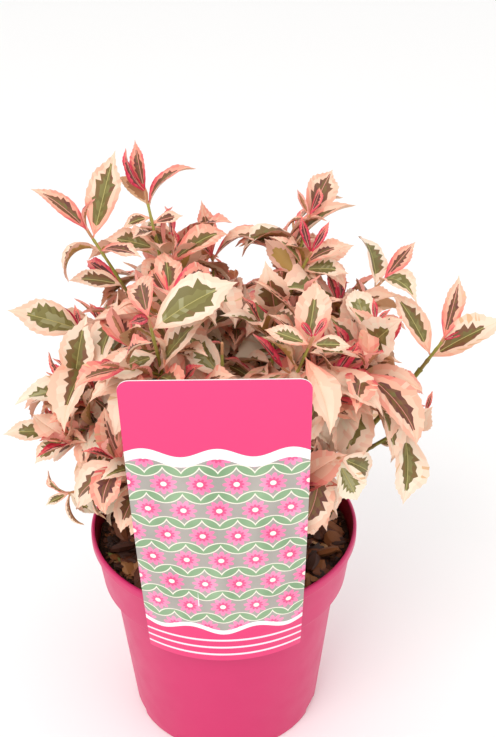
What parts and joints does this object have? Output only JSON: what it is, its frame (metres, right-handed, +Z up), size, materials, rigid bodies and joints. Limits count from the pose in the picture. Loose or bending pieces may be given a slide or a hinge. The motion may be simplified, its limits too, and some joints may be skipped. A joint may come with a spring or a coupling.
{
  "type": "potted hydrangea shrub",
  "caption": "Young variegated hydrangea shrub in a round nursery pot filled with bark compost, with an upright picture label hooked over the rim.",
  "frame": {"origin": "middle of the pot's flat underside", "axes": "+Z up along the pot's axis, -Y towards the label, +X to the right as the label is read"},
  "size_m": [0.3288, 0.2813, 0.4309],
  "materials": {
    "pot": "smooth moulded magenta polypropylene with a soft sheen",
    "compost": "moist bark chips and dark compost",
    "cane": "green young bark, brown towards the foot",
    "foliage": "cream-pink leaves with green centres and red young tips",
    "card": "printed flexible card with a smooth film"
  },
  "bodies": {
    "root": {"pot": "pot", "compost": "compost", "base_stem": "cane", "label": "card", "bough_top_left": "cane", "bough_top_middle": "cane", "bough_top_right": "cane", "bough_far_right": "cane", "bough_mid_left": "cane", "bough_front_middle": "cane", "bough_front_right": "cane", "bough_rear_middle": "cane", "bough_side_rear_left": "cane", "bough_side_rear_right": "cane", "bough_low_front_left": "cane", "bough_upper_left": "cane", "bough_upper_right": "cane", "bough_middle_right": "cane", "bough_side_right": "cane", "bough_low_right": "cane", "bough_low_front_right": "cane", "bough_front_left": "cane", "bough_low_left": "cane", "bough_bottom_left": "cane", "bough_rear_right": "cane", "bough_rear_left": "cane", "bough_low_rear_right": "cane", "bough_low_rear_middle": "cane", "bough_low_rear_left": "cane", "leaves_top_left": "foliage", "leaves_top_middle": "foliage", "leaves_top_right": "foliage", "leaves_far_right": "foliage", "leaves_mid_left": "foliage", "leaves_front_middle": "foliage", "leaves_front_right": "foliage", "leaves_rear_middle": "foliage", "leaves_side_rear_left": "foliage", "leaves_side_rear_right": "foliage", "leaves_low_front_left": "foliage", "leaves_upper_left": "foliage", "leaves_upper_right": "foliage", "leaves_middle_right": "foliage", "leaves_side_right": "foliage", "leaves_low_right": "foliage", "leaves_low_front_right": "foliage", "leaves_front_left": "foliage", "leaves_low_left": "foliage", "leaves_bottom_left": "foliage", "leaves_rear_right": "foliage", "leaves_rear_left": "foliage", "leaves_low_rear_right": "foliage", "leaves_low_rear_middle": "foliage", "leaves_low_rear_left": "foliage"}
  },
  "joints": []
}
